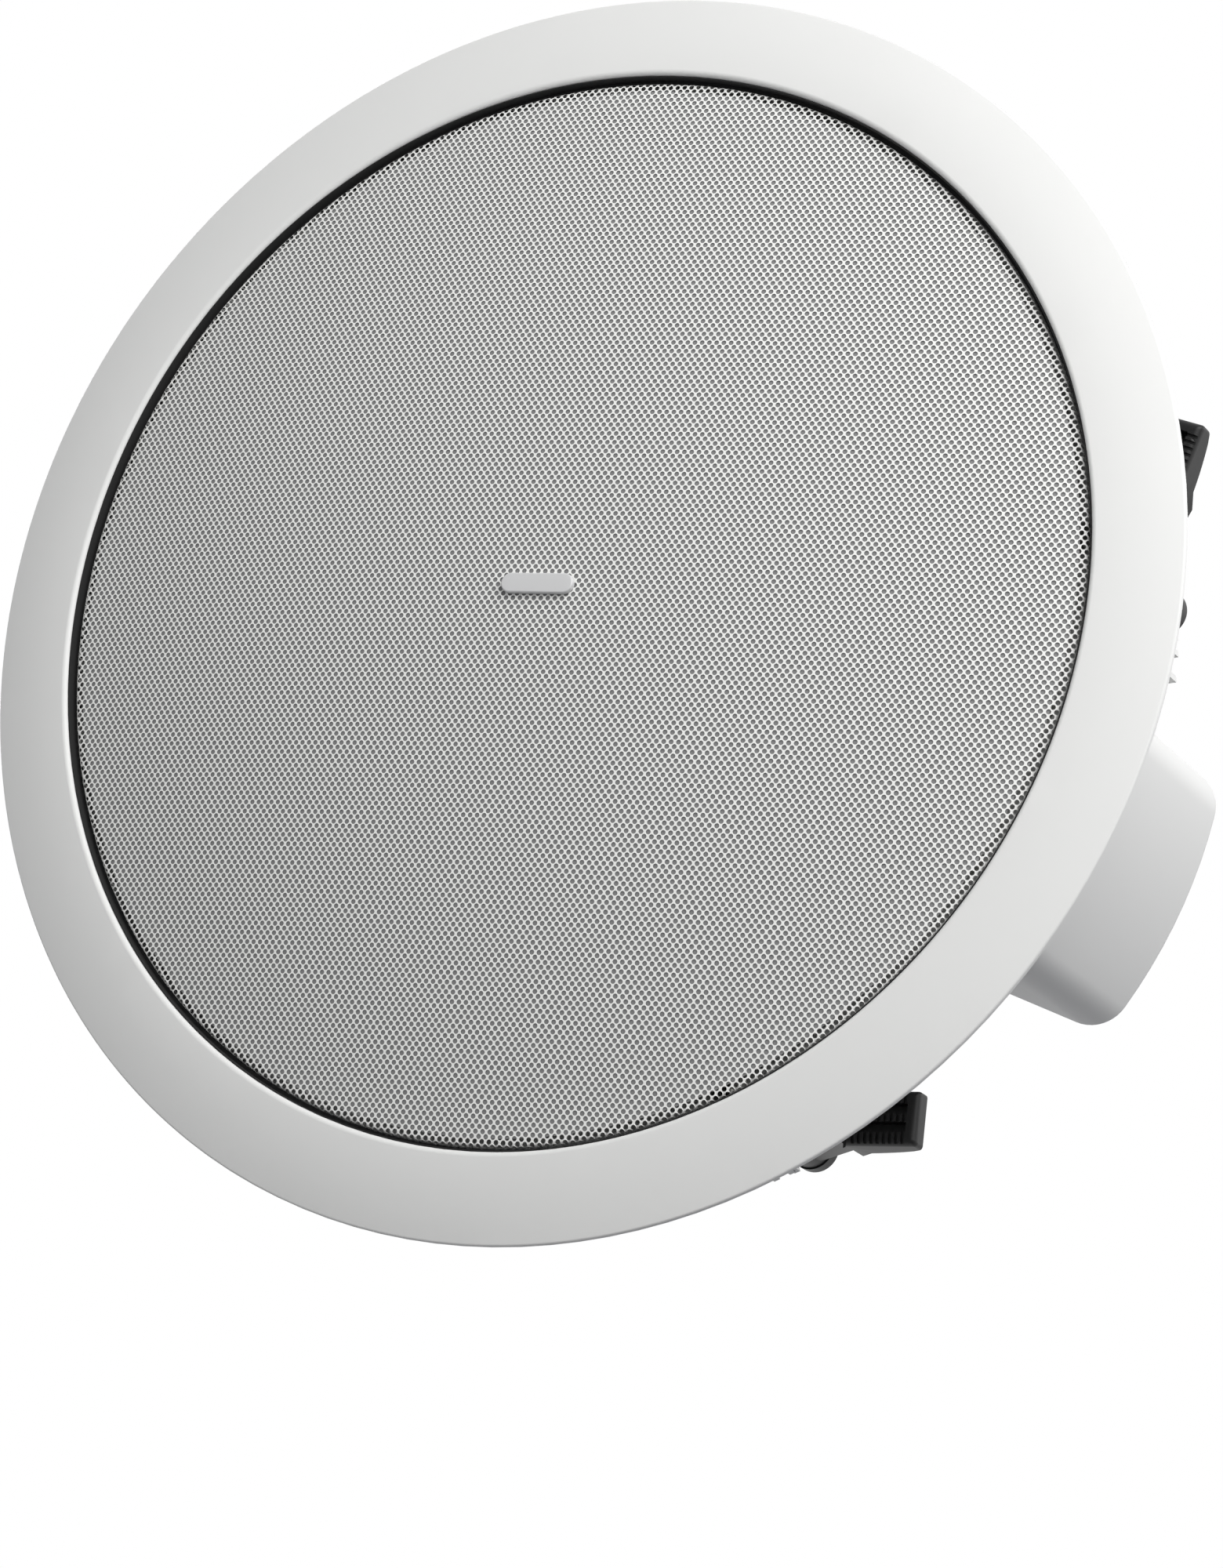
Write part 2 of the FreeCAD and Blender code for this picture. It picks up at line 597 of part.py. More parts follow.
def make_grille():
    """Domed sheet with a turned-back rim, cut by a staggered field of holes."""
    dome = new_body("grille_sheet")
    rim_back = "(floor_depth - grip_clearance)"
    turned(dome, "grille_section", [
        ("0", "-%s" % CROWN_FRONT),
        ("0", "grille_wall - %s" % CROWN_FRONT, INNER_DOME, 1),
        ("grille_radius - grille_wall", "grille_wall - grille_rim_front"),
        ("grille_radius - grille_wall", rim_back),
        ("grille_radius", rim_back),
        ("grille_radius", "-grille_rim_front", DOME_RADIUS, -1),
    ])
    pitch = value("hole_pitch")
    radius = value("hole_radius")
    reach = value("grille_radius - grille_wall - hole_margin - hole_radius")
    depth = value("%s + overcut" % CROWN_FRONT)
    rows = int(reach / (pitch * math.sqrt(3) / 2))
    columns = int(reach / pitch) + 1
    holes = []
    for row in range(-rows, rows + 1):
        for column in range(-columns, columns + 1):
            x = (column + 0.5 * (row % 2)) * pitch
            y = row * pitch * math.sqrt(3) / 2
            if math.hypot(x, y) <= reach:
                holes.append(Part.makeCylinder(radius, depth, FreeCAD.Vector(x, y, -depth)))
    field = doc.addObject("Part::Feature", "grille_hole_field")
    field.Shape = Part.makeCompound(holes)
    field.Placement = FreeCAD.Placement(
        FreeCAD.Vector(0, 0, 0), FreeCAD.Rotation(FreeCAD.Vector(0, 0, 1), value("row_angle")))
    grille = doc.addObject("Part::Cut", "grille")
    grille.Base = dome
    grille.Tool = field
    grille.Label = "grille"
    return grille


def make_scrim():
    """Acoustic cloth, glued to the back of the dome and a little short of its rim."""
    body = new_body("grille_scrim")
    inner = "(%s - glue_gap)" % INNER_DOME
    edge = "(grille_radius - grille_wall - scrim_margin)"
    centre = "(%s + grille_wall - %s)" % (INNER_DOME, CROWN_FRONT)
    turned(body, "scrim_section", [
        ("0", "%s - %s" % (centre, inner)),
        ("0", "%s - %s + scrim_wall" % (centre, inner), "%s - scrim_wall" % inner, 1),
        (edge, "%s - sqrt((%s - scrim_wall) ^ 2 - %s ^ 2)" % (centre, inner, edge)),
        (edge, "%s - sqrt(%s ^ 2 - %s ^ 2)" % (centre, inner, edge), inner, -1),
    ])
    return body


def make_badge():
    """Plain raised plate with round ends in the middle of the grille."""
    body = new_body("grille_badge")
    half = "(badge_length / 2 - badge_height / 2)"
    sketch = outline(body, "badge_outline", "XY_Plane", [
        ("-%s" % half, "-badge_height / 2"),
        (half, "-badge_height / 2", "badge_height / 2", 1),
        ("badge_length / 2", "0", "badge_height / 2", 1),
        (half, "badge_height / 2"),
        ("-%s" % half, "badge_height / 2", "badge_height / 2", 1),
        ("-badge_length / 2", "0", "badge_height / 2", 1),
    ])
    pad(body, sketch, "badge_wall")
    rounded(body, edges_where(body.Shape, lambda edge: edge_at(edge, 0)), "badge_wall / 3")
    place(body, z="-%s - glue_gap - badge_wall" % CROWN_FRONT, turn="row_angle")
    return body


def make_can():
    """White moulded can: five-lobed shoulder, deep lobe for the filter, drum over the magnet."""
    body = new_body("rear_can")
    base = CAN_BASE
    lobed(body, "can", "0", base, "shoulder_height")
    roots = edges_where(body.Shape, lambda edge: (
        edge.BoundBox.ZLength > 1
        and math.hypot(edge.BoundBox.XMin, edge.BoundBox.YMin) < value(CAN_RADIUS) + 1e-3))
    rounded(body, roots, "lobe_root")
    shoulder = value("%s + shoulder_height" % base)
    rounded(body, edges_where(body.Shape, lambda edge: edge_at(edge, shoulder)), "shoulder_round")

    deep_inner = "deep_lobe_start"
    deep = outline(body, "deep_lobe_outline", "XY_Plane", one_lobe_corners("0", deep_inner), lift=base)
    pad(body, deep, "deep_lobe_height")
    deep_top = value("%s + deep_lobe_height" % base)
    rounded(body, edges_where(body.Shape, lambda edge: edge_at(edge, deep_top)), "deep_lobe_round")

    drum = circles(body, "drum_outline", "XY_Plane", [("0", "0", "drum_radius")], lift=base)
    pad(body, drum, "drum_height")
    rounded(body, edges_where(body.Shape, lambda edge: edge_at(
        edge, value(CAN_TOP), value("drum_radius"))), "drum_round")

    # flat pad under the cable gland
    radial_cylinder(body, "Additive", "gland_pad", "gland_pad_radius",
                    "%s - can_wall" % LOBE_INSIDE, "can_wall + gland_pad_wall", "gland_level", "gland_angle")

    # the hollow inside: the wall follows the outside
    lobed(body, "can_hollow", "can_wall", base, "shoulder_height - can_wall", cut=True)
    turned(body, "drum_hollow", [
        ("0", base),
        ("drum_radius - can_wall", base),
        ("drum_radius - can_wall", "%s - drum_round" % CAN_TOP, "drum_round - can_wall", 1),
        ("drum_radius - drum_round", "%s - can_wall" % CAN_TOP),
        ("0", "%s - can_wall" % CAN_TOP),
    ], groove=True)
    deep_hollow = outline(body, "deep_lobe_hollow", "XY_Plane", one_lobe_corners("can_wall", deep_inner),
                          lift="%s + shoulder_height - can_wall" % base)
    pocket(body, deep_hollow, "deep_lobe_height - shoulder_height")

    # screw bosses, two in each lobe, and the filter board's standoffs
    bosses = circles(body, "screw_boss", "XY_Plane",
                     [(x, y, "boss_radius") for x, y in CAN_SCREW_PLACES], lift=base)
    polar(body, [pad(body, bosses, "boss_height")], "clamp_count")
    pilots = circles(body, "screw_pilot", "XY_Plane",
                     [(x, y, "can_screw_radius + hole_gap") for x, y in CAN_SCREW_PLACES], lift=base)
    polar(body, [pocket(body, pilots, "boss_height - can_wall")], "clamp_count")
    standoffs = circles(body, "board_standoff", "YZ_Plane", board_fixings("standoff_radius"), lift=BOARD_BACK)
    pad(body, standoffs, "board_standoff")

    # cable way
    radial_cylinder(body, "Subtractive", "gland_hole", "gland_thread_radius + hole_gap",
                    "%s - 2 * can_wall" % LOBE_INSIDE, "6 * can_wall", "gland_level", "gland_angle")

    # rivet hole of the safety eye
    rivet = circles(body, "rivet_hole", "XY_Plane", [(EYE_PLACE, "0", "rivet_radius + hole_gap")],
                    lift="%s - 2 * can_wall" % CAN_TOP)
    pocket(body, rivet, "3 * can_wall")
    return body


def make_can_gasket():
    """Foam seal with the can's own outline, between can and baffle."""
    body = new_body("can_gasket")
    lobed(body, "gasket", "0", SEAT_BACK, "gasket_wall")
    lobed(body, "gasket_hole", "can_wall", SEAT_BACK, "gasket_wall", cut=True)
    return body


def make_basket():
    """Cast driver frame: flange, conical wall with windows, foot that carries the top plate."""
    body = new_body("basket")
    wall_top = "(frame_throat - basket_wall)"
    foot_inside = "(basket_foot_radius - basket_wall)"
    turned(body, "basket_section", [
        ("frame_radius", FLANGE_FRONT),
        ("frame_radius", "seat_depth"),
        ("frame_throat", "seat_depth"),
        ("frame_throat", SEAT_BACK),
        ("basket_foot_radius", BASKET_FOOT),
        ("basket_foot_radius", BASKET_END),
        ("%s + plate_gap" % COIL_OUTER, BASKET_END),
        ("%s + plate_gap" % COIL_OUTER, "%s - basket_wall" % BASKET_END),
        (foot_inside, "%s - basket_wall" % BASKET_END),
        (foot_inside, "%s - basket_wall / 2" % BASKET_FOOT),
        (wall_top, "%s - basket_wall / 2" % SEAT_BACK),
        (wall_top, FLANGE_FRONT),
    ])
    inner_half = "(180 deg / windows - asin(spoke_width / 2 / window_inner))"
    outer_half = "(180 deg / windows - asin(spoke_width / 2 / window_outer))"
    window = outline(body, "basket_window", "XY_Plane", [
        ("window_inner * cos%s" % inner_half, "-window_inner * sin%s" % inner_half),
        ("window_outer * cos%s" % outer_half, "-window_outer * sin%s" % outer_half, "window_outer", 1),
        ("window_outer * cos%s" % outer_half, "window_outer * sin%s" % outer_half),
        ("window_inner * cos%s" % inner_half, "window_inner * sin%s" % inner_half, "window_inner", -1),
    ], lift="seat_depth")
    polar(body, [pocket(body, window, BASKET_END)], "windows")
    hole = circles(body, "flange_hole", "XY_Plane",
                   [("driver_bolt_circle", "0", "driver_screw_radius + hole_gap")], lift=FLANGE_FRONT)
    polar(body, [pocket(body, hole, "flange_wall")], "driver_bolts")
    return body


def make_driver_gasket():
    """Ring on the driver's flange that traps the surround's outer lip."""
    body = new_body("driver_gasket")
    ring = circles(body, "gasket_ring", "XY_Plane", [
        ("0", "0", "frame_radius"),
        ("0", "0", "frame_throat + hole_gap"),
    ], lift=GASKET_FRONT)
    pad(body, ring, "gasket_height")
    hole = circles(body, "gasket_hole", "XY_Plane",
                   [("driver_bolt_circle", "0", "driver_screw_radius + hole_gap")], lift=GASKET_FRONT)
    polar(body, [pocket(body, hole, "gasket_height")], "driver_bolts")
    return body


def make_surround():
    """Rubber half roll between the flange and the cone's rim."""
    body = new_body("surround")
    front = "(%s - roll_wall)" % FLANGE_FRONT
    outer = "frame_throat"
    roll_outer = "(%s + 2 * roll_radius)" % CONE_RIM
    roll_mid = "(%s + roll_radius)" % CONE_RIM
    inner_roll = "(roll_radius - roll_wall)"
    turned(body, "surround_section", [
        (outer, front),
        (outer, FLANGE_FRONT),
        ("%s - roll_wall" % roll_outer, FLANGE_FRONT),
        ("%s - roll_wall" % roll_outer, front, inner_roll, 1),
        (roll_mid, "%s - %s" % (front, inner_roll), inner_roll, 1),
        ("%s + roll_wall" % CONE_RIM, front),
        ("%s + roll_wall" % CONE_RIM, FLANGE_FRONT),
        ("%s - surround_lip" % CONE_RIM, FLANGE_FRONT),
        ("%s - surround_lip" % CONE_RIM, front),
        (CONE_RIM, front, "roll_radius", -1),
        (roll_mid, "%s - roll_radius" % front, "roll_radius", -1),
        (roll_outer, front),
    ])
    return body


def make_cone():
    """Paper cone from the surround's inner lip to the voice coil's neck."""
    body = new_body("cone")
    rim_back = "(%s + glue_gap)" % FLANGE_FRONT
    neck = "(coil_radius + former_wall + glue_gap)"
    turned(body, "cone_section", [
        (CONE_RIM, rim_back),
        (CONE_RIM, "%s + cone_wall" % rim_back),
        ("%s - surround_lip" % CONE_RIM, "%s + cone_wall" % rim_back),
        (neck, "%s + 2 * cone_wall" % CONE_NECK),
        (neck, CONE_NECK),
        ("%s - surround_lip" % CONE_RIM, rim_back),
    ])
    return body


def make_dust_cap():
    """Domed cap glued to the cone over the voice coil."""
    body = new_body("dust_cap")
    rim_front = ("(%s + glue_gap + (%s - glue_gap - %s) * (%s - surround_lip - cap_radius)"
                 " / (%s - surround_lip - coil_radius - former_wall - glue_gap) - glue_gap - cap_wall)"
                 % (FLANGE_FRONT, CONE_NECK, FLANGE_FRONT, CONE_RIM, CONE_RIM))
    dome = "((cap_radius ^ 2 + cap_rise ^ 2) / (2 * cap_rise))"
    turned(body, "cap_section", [
        ("0", "%s - cap_rise - cap_wall" % rim_front),
        ("0", "%s - cap_rise" % rim_front, dome, 1),
        ("cap_radius", rim_front),
        ("cap_radius", "%s - cap_wall" % rim_front, dome, -1),
    ])
    return body


def make_spider():
    """Corrugated cloth disc that centres the voice coil."""
    body = new_body("spider")
    level = "(seat_depth + spider_depth)"
    inner = "(coil_radius + former_wall + glue_gap)"
    steps = 2 * int(value("spider_waves"))
    front = []
    back = []
    for step in range(steps + 1):
        radius = "%s + (spider_radius - %s) * %d / %d" % (inner, inner, step, steps)
        wave = "0" if step in (0, steps) else "spider_wave" if step % 2 else "-spider_wave"
        front.append((radius, "%s + %s" % (level, wave)))
        back.append((radius, "%s + %s + spider_wall" % (level, wave)))
    turned(body, "spider_section", front + back[::-1])
    return body


def make_rings():
    """Turned parts of the motor: coil former, winding, top plate, magnet and yoke."""
    former = new_body("coil_former")
    former_front = "(%s - former_proud)" % CONE_NECK
    ring = circles(former, "former_ring", "XY_Plane", [
        ("0", "0", "coil_radius + former_wall"), ("0", "0", "coil_radius")], lift=former_front)
    pad(former, ring, "former_length")

    winding = new_body("coil_winding")
    middle = "(%s + plate_wall / 2)" % BASKET_END
    ring = circles(winding, "winding_ring", "XY_Plane", [
        ("0", "0", COIL_OUTER), ("0", "0", "coil_radius + former_wall + glue_gap / 10")],
        lift="%s - winding_length / 2" % middle)
    pad(winding, ring, "winding_length")

    plate = new_body("top_plate")
    ring = circles(plate, "plate_ring", "XY_Plane", [
        ("0", "0", "plate_radius"), ("0", "0", "%s + plate_gap" % COIL_OUTER)], lift=BASKET_END)
    pad(plate, ring, "plate_wall")

    magnet = new_body("magnet")
    magnet_front = "(%s + plate_wall)" % BASKET_END
    ring = circles(magnet, "magnet_ring", "XY_Plane", [
        ("0", "0", "magnet_radius"), ("0", "0", "magnet_bore")], lift=magnet_front)
    pad(magnet, ring, "magnet_wall")

    yoke = new_body("yoke")
    pole = "(coil_radius - pole_gap)"
    yoke_front = "(%s + magnet_wall)" % magnet_front
    turned(yoke, "yoke_section", [
        ("vent_radius", BASKET_END),
        (pole, BASKET_END),
        (pole, yoke_front),
        ("plate_radius", yoke_front),
        ("plate_radius", "%s + yoke_wall" % yoke_front),
        ("vent_radius", "%s + yoke_wall" % yoke_front),
    ])
    return [former, winding, plate, magnet, yoke]


def make_driver_tags():
    """Terminal strip with two solder tags on the foot of the basket."""
    body = new_body("driver_tags")
    face = "(basket_foot_radius + glue_gap)"
    level = "(%s + basket_foot_height / 2)" % BASKET_FOOT
    strip = outline(body, "tag_strip", "YZ_Plane", box_corners(
        "-tag_length / 2", "tag_length / 2",
        "%s - tag_height / 2" % level, "%s + tag_height / 2" % level), lift=face)
    pad(body, strip, "tag_wall")
    for name, sign in (("tag_plus", ""), ("tag_minus", "-")):
        middle = "%s tag_length / 4" % sign
        tag = outline(body, name, "YZ_Plane", box_corners(
            "%s - tag_wall" % middle, "%s + tag_wall" % middle,
            "%s - tag_wall / 4" % level, "%s + tag_wall / 4" % level), lift="%s + tag_wall / 2" % face)
        pad(body, tag, "4 * tag_wall")
    return body


def make_screw_ring(label, places, count, head_back, radius, length):
    """Group of like screws with round heads, their shanks along +Z."""
    body = new_body(label)
    body.AllowCompound = True
    heads = circles(body, label + "_head", "XY_Plane", [(x, y, "small_head_radius") for x, y in places],
                    lift="%s - small_head_height" % head_back)
    head_pad = pad(body, heads, "small_head_height")
    shanks = circles(body, label + "_shank", "XY_Plane", [(x, y, radius) for x, y in places],
                     lift="%s - small_head_height / 2" % head_back)
    shank_pad = pad(body, shanks, "%s + small_head_height / 2" % length)
    polar(body, [head_pad, shank_pad], count)
    return body


def make_clamp_screw(clamp):
    """Pan-head screw that passes the clamp floor and runs back through nut and arm."""
    body = new_body("clamp_screw_%d" % (clamp + 1))
    seat = "(floor_depth - running_gap)"
    turned(body, "clamp_screw_section_%d" % clamp, [
        ("0", "%s - screw_head_height" % seat),
        ("screw_head_top", "%s - screw_head_height" % seat),
        ("screw_head_radius", "%s - screw_head_edge" % seat),
        ("screw_head_radius", seat),
        ("screw_radius", seat),
        ("screw_radius", "screw_end - screw_radius / 2"),
        ("screw_radius / 2", "screw_end"),
        ("0", "screw_end"),
    ])
    place_at_clamp(body, clamp)
    return body


def make_clamp_nut(clamp):
    """Round threaded bush that carries the arm along the screw."""
    body = new_body("clamp_nut_%d" % (clamp + 1))
    ring = circles(body, "clamp_nut_ring_%d" % clamp, "XY_Plane", [
        ("0", "0", "nut_radius"), ("0", "0", "screw_radius + running_gap")], lift="hub_back - nut_length")
    pad(body, ring, "nut_length")
    place_at_clamp(body, clamp)
    return body


def make_clamp_arm(clamp):
    """Dog-leg arm: hub on the nut, sloping neck, pad with ribs and slots on its gripping face."""
    body = new_body("clamp_arm_%d" % (clamp + 1))
    side = outline(body, "arm_side_%d" % clamp, "XZ_Plane", [
        ("0", "neck_front"),
        ("neck_bend", "neck_front"),
        ("heel_start", "heel_front"),
        ("pad_start", "pad_front"),
        ("arm_length", "pad_front"),
        ("arm_length", "end_back"),
        ("arm_length - end_bar", "pad_front + pad_thickness", "pad_back_bow", 1),
        ("crown_start", "pad_crown"),
        ("hub_radius", "neck_back"),
        ("0", "hub_back - collar_length"),
    ])
    pad(body, side, "pad_width", both_sides=True)

    # the neck is narrower than the pad: cut a strip from each side
    for name, sign in (("neck_left", ""), ("neck_right", "-")):
        near = "%s neck_width / 2" % sign
        far = "%s (pad_width / 2 + overcut)" % sign
        strip = outline(body, "%s_%d" % (name, clamp), "XY_Plane", [
            ("-overcut", near),
            ("pad_start - (pad_width - neck_width)", near),
            ("pad_start - overcut", "%s pad_width / 2" % sign),
            ("pad_start - overcut", far),
            ("-overcut", far),
        ], lift="hub_front - overcut")
        pocket(body, strip, "hub_back - hub_front + 2 * overcut")

    end_corners = edges_where(body.Shape, lambda edge: (
        edge.BoundBox.XMin > value("arm_length") - 1e-4 and edge.BoundBox.ZLength > 1))
    rounded(body, end_corners, "arm_end_round")
    end_front = edges_where(body.Shape, lambda edge: (
        edge_at(edge, value("pad_front")) and edge.BoundBox.XMin > value("arm_length") - 1e-4))
    rounded(body, end_front, "end_bar_round")

    # hub with its collar, bored for the screw and counterbored for the nut
    hub = circles(body, "arm_hub_%d" % clamp, "XY_Plane", [("0", "0", "hub_radius")], lift="hub_front")
    pad(body, hub, "hub_back - hub_front")
    collar = circles(body, "arm_collar_%d" % clamp, "XY_Plane", [("0", "0", "collar_radius")],
                     lift="hub_back - collar_length")
    pad(body, collar, "collar_length")
    bore = circles(body, "arm_bore_%d" % clamp, "XY_Plane", [("0", "0", "screw_radius + free_gap")],
                   lift="hub_front - overcut")
    pocket(body, bore, "hub_back - hub_front + 2 * overcut")
    counterbore = circles(body, "nut_seat_%d" % clamp, "XY_Plane", [("0", "0", "nut_radius + running_gap")],
                          lift="hub_back - nut_length - running_gap")
    pocket(body, counterbore, "nut_length + overcut")

    # two long slots and a row of grooves leave three rows of ribs
    slot_rows = (pad_width_share(-1), pad_width_share(1))
    for number, middle in enumerate(slot_rows):
        slot = outline(body, "pad_slot_%d_%d" % (number, clamp), "XY_Plane", box_corners(
            "pad_start + overcut", "arm_length - end_bar",
            "%s - pad_slot_width / 2" % middle, "%s + pad_slot_width / 2" % middle),
            lift="pad_front - overcut")
        pocket(body, slot, "pad_slot_depth + overcut")
    groove = outline(body, "rib_groove_%d" % clamp, "XY_Plane", box_corners(
        "pad_start + rib_pitch / 2", "pad_start + rib_pitch",
        "-pad_width / 2 - overcut", "pad_width / 2 + overcut"), lift="pad_front - overcut")
    cut = pocket(body, groove, "rib_depth + overcut")
    row = body.newObject("PartDesign::LinearPattern", "rib_row_%d" % clamp)
    row.Originals = [cut]
    row.Direction = (origin_feature(body, "X_Axis"), [""])
    row.Occurrences = int(value("(arm_length - end_bar - pad_start) / rib_pitch"))
    row.setExpression("Length", bound("rib_pitch * %d" % (row.Occurrences - 1)))
    body.Tip = row
    doc.recompute()
    place_at_clamp(body, clamp, "-arm_angle")
    return body


def pad_width_share(sign):
    """Middle of one of the two slots across the pad."""
    return "%d * pad_width / 6" % sign


def place_at_clamp(body, clamp, extra_turn="+ 0"):
    turn = clamp_turn(clamp)
    place(body, "clamp_circle * cos%s" % turn, "clamp_circle * sin%s" % turn,
          turn="%s %s" % (turn, extra_turn))


def make_gland():
    """Cable gland: body through the can's wall, hexagonal compression nut, locknut inside."""
    gland = new_body("cable_gland")
    flange = new_sketch(gland, "gland_flange", "YZ_Plane", lift=GLAND_SEAT)
    add_hexagon(flange, "gland_flats")
    pad(gland, flange, "gland_flange")
    stub_back = "(%s - locknut_wall - can_wall)" % LOBE_INSIDE
    stub = circles(gland, "gland_stub", "YZ_Plane", [("0", "0", "gland_thread_radius")], lift=stub_back)
    pad(gland, stub, "%s - %s + gland_flange / 2" % (GLAND_SEAT, stub_back))
    bore = circles(gland, "gland_bore", "YZ_Plane", [("0", "0", "gland_bore")],
                   lift="%s - overcut" % stub_back)
    pocket(gland, bore, "%s - %s + gland_flange + 2 * overcut" % (GLAND_SEAT, stub_back))

    nut = new_body("gland_nut")
    hexagon = new_sketch(nut, "gland_nut_hexagon", "YZ_Plane", lift="%s + gland_flange" % GLAND_SEAT)
    add_hexagon(hexagon, "gland_nut_flats")
    add_circle(hexagon, "0", "0", "gland_bore")
    pad(nut, hexagon, "gland_nut_length")

    locknut = new_body("gland_locknut")
    ring = new_sketch(locknut, "locknut_hexagon", "YZ_Plane",
                      lift="%s - can_wall - locknut_wall" % LOBE_INSIDE)
    add_hexagon(ring, "gland_flats")
    add_circle(ring, "0", "0", "gland_thread_radius + hole_gap")
    pad(locknut, ring, "locknut_wall")
    for body in (gland, nut, locknut):
        place(body, z="gland_level", turn="gland_angle")
    return [gland, nut, locknut]


def board_fixings(radius):
    """Corner fixings of the filter board, in the plane of the board."""
    inset = "2 * standoff_radius"
    rows = []
    for side in ("-", ""):
        for level in (inset, "board_height - %s" % inset):
            rows.append(("%s (board_width / 2 - %s)" % (side, inset), "board_level + %s" % level, radius))
    return rows


def make_filter():
    """Low-pass filter in the deep lobe: board, inductor, capacitor and terminal block."""
    face = "(%s - board_wall)" % BOARD_BACK
    board = new_body("crossover_board")
    plate = outline(board, "board_plate", "YZ_Plane", box_corners(
        "-board_width / 2", "board_width / 2", "board_level", "board_level + board_height"), lift=face)
    pad(board, plate, "board_wall")

    inductor = new_body("inductor")
    level = "(board_level + board_height - inductor_radius - inductor_margin)"
    core_front = "(%s - inductor_length)" % face
    for name, radius, start, length in (
            ("back_cheek", "inductor_radius", "%s - inductor_cheek" % face, "inductor_cheek"),
            ("winding", "(inductor_radius - inductor_cheek)", core_front, "inductor_length"),
            ("front_cheek", "inductor_radius", core_front, "inductor_cheek")):
        disc = circles(inductor, "inductor_" + name, "YZ_Plane", [("0", level, radius)], lift=start)
        pad(inductor, disc, length)
    bore = circles(inductor, "inductor_hole", "YZ_Plane", [("0", level, "inductor_bore")], lift=core_front)
    pocket(inductor, bore, "inductor_length")

    capacitor = new_body("filter_capacitor")
    can = circles(capacitor, "capacitor_can", "XZ_Plane", [
        ("%s - capacitor_radius" % face, "board_level + 2 * capacitor_radius", "capacitor_radius")],
        lift="-capacitor_length / 2 + block_length / 2")
    pad(capacitor, can, "capacitor_length")

    block = new_body("terminal_block")
    housing = outline(block, "block_housing", "YZ_Plane", box_corners(
        "board_width / 2 - block_height", "board_width / 2",
        "board_level + 4 * standoff_radius", "board_level + 4 * standoff_radius + block_length"),
        lift="%s - block_depth" % face)
    pad(block, housing, "block_depth")
    ways = circles(block, "block_way", "YZ_Plane", [
        ("board_width / 2 - block_height / 2",
         "board_level + 4 * standoff_radius + block_length * %d / 4" % way, "block_height / 5")
        for way in (1, 3)], lift="%s - block_depth" % face)
    pocket(block, ways, "block_depth / 2")
    return [board, inductor, capacitor, block]


def make_wadding():
    """Fibre pad behind the magnet, with a hole round the safety eye's rivet."""
    body = new_body("can_wadding")
    disc = circles(body, "wadding_disc", "XY_Plane",
                   [("0", "0", "drum_radius - drum_round - wadding_clearance"),
                    (EYE_PLACE, "0", "tail_radius + wadding_clearance")],
                   lift="%s - can_wall - glue_gap - wadding_wall" % CAN_TOP)
    pad(body, disc, "wadding_wall")
    return body


def make_safety_eye():
    """Bent steel eye riveted to the drum, for a safety wire."""
    body = new_body("safety_eye")
    inner = "(%s - eye_foot / 2)" % EYE_PLACE
    bend = outline(body, "eye_bend", "XZ_Plane", [
        (inner, CAN_TOP),
        ("%s + eye_foot" % inner, CAN_TOP),
        ("%s + eye_foot" % inner, "%s + eye_wall" % CAN_TOP),
        ("%s + eye_wall" % inner, "%s + eye_wall" % CAN_TOP),
        ("%s + eye_wall" % inner, "%s + eye_height" % CAN_TOP),
        (inner, "%s + eye_height" % CAN_TOP),
    ])
    pad(body, bend, "eye_width", both_sides=True)
    hole = circles(body, "eye_hole", "YZ_Plane",
                   [("0", "%s + eye_height - eye_width / 2" % CAN_TOP, "eye_hole_radius")],
                   lift="%s - overcut" % inner)
    pocket(body, hole, "eye_wall + 2 * overcut")
    shank = circles(body, "eye_rivet", "XY_Plane", [(EYE_PLACE, "0", "rivet_radius")],
                    lift="%s - can_wall" % CAN_TOP)
    pad(body, shank, "can_wall + eye_wall")
    top = circles(body, "eye_rivet_head", "XY_Plane", [(EYE_PLACE, "0", "2 * rivet_radius")],
                  lift="%s + eye_wall" % CAN_TOP)
    pad(body, top, "rivet_radius / 2")
    tail = circles(body, "eye_rivet_tail", "XY_Plane", [(EYE_PLACE, "0", "tail_radius")],
                   lift="%s - can_wall - tail_wall" % CAN_TOP)
    pad(body, tail, "tail_wall")
    return body


def make_all():
    nodes = [make_baffle(), make_grille(), make_scrim(), make_badge(), make_can(), make_can_gasket()]
    nodes += [make_basket(), make_driver_gasket(), make_surround(), make_cone(), make_dust_cap()]
    nodes += [make_spider(), *make_rings(), make_driver_tags()]
    nodes.append(make_screw_ring("driver_screws", [("driver_bolt_circle", "0")], "driver_bolts",
                                 GASKET_FRONT, "driver_screw_radius", "driver_screw_length"))
    nodes.append(make_screw_ring("can_screws", CAN_SCREW_PLACES, "clamp_count",
                                 "floor_depth", "can_screw_radius", "can_screw_length"))
    for clamp in range(int(value("clamp_count"))):
        nodes += [make_clamp_screw(clamp), make_clamp_nut(clamp), make_clamp_arm(clamp)]
    nodes += [*make_gland(), *make_filter(), make_wadding(), make_safety_eye()]
    return nodes


nodes = make_all()
doc.recompute()
for item in doc.Objects:
    if "Invalid" in item.State or "Error" in item.State:
        raise RuntimeError("%s failed: %s" % (item.Name, item.State))
for node in nodes:
    if node.Shape.isNull() or not node.Shape.isValid():
        raise RuntimeError("%s has no valid shape" % node.Label)

os.makedirs("parts", exist_ok=True)
for node in nodes:
    node.Shape.exportStep("parts/%s.step" % node.Label)
    print(node.Label, len(node.Shape.Solids), round(node.Shape.Volume / 1000, 2), "cm3")
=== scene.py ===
import math

import bpy
import numpy as np
from mathutils import Matrix, Vector


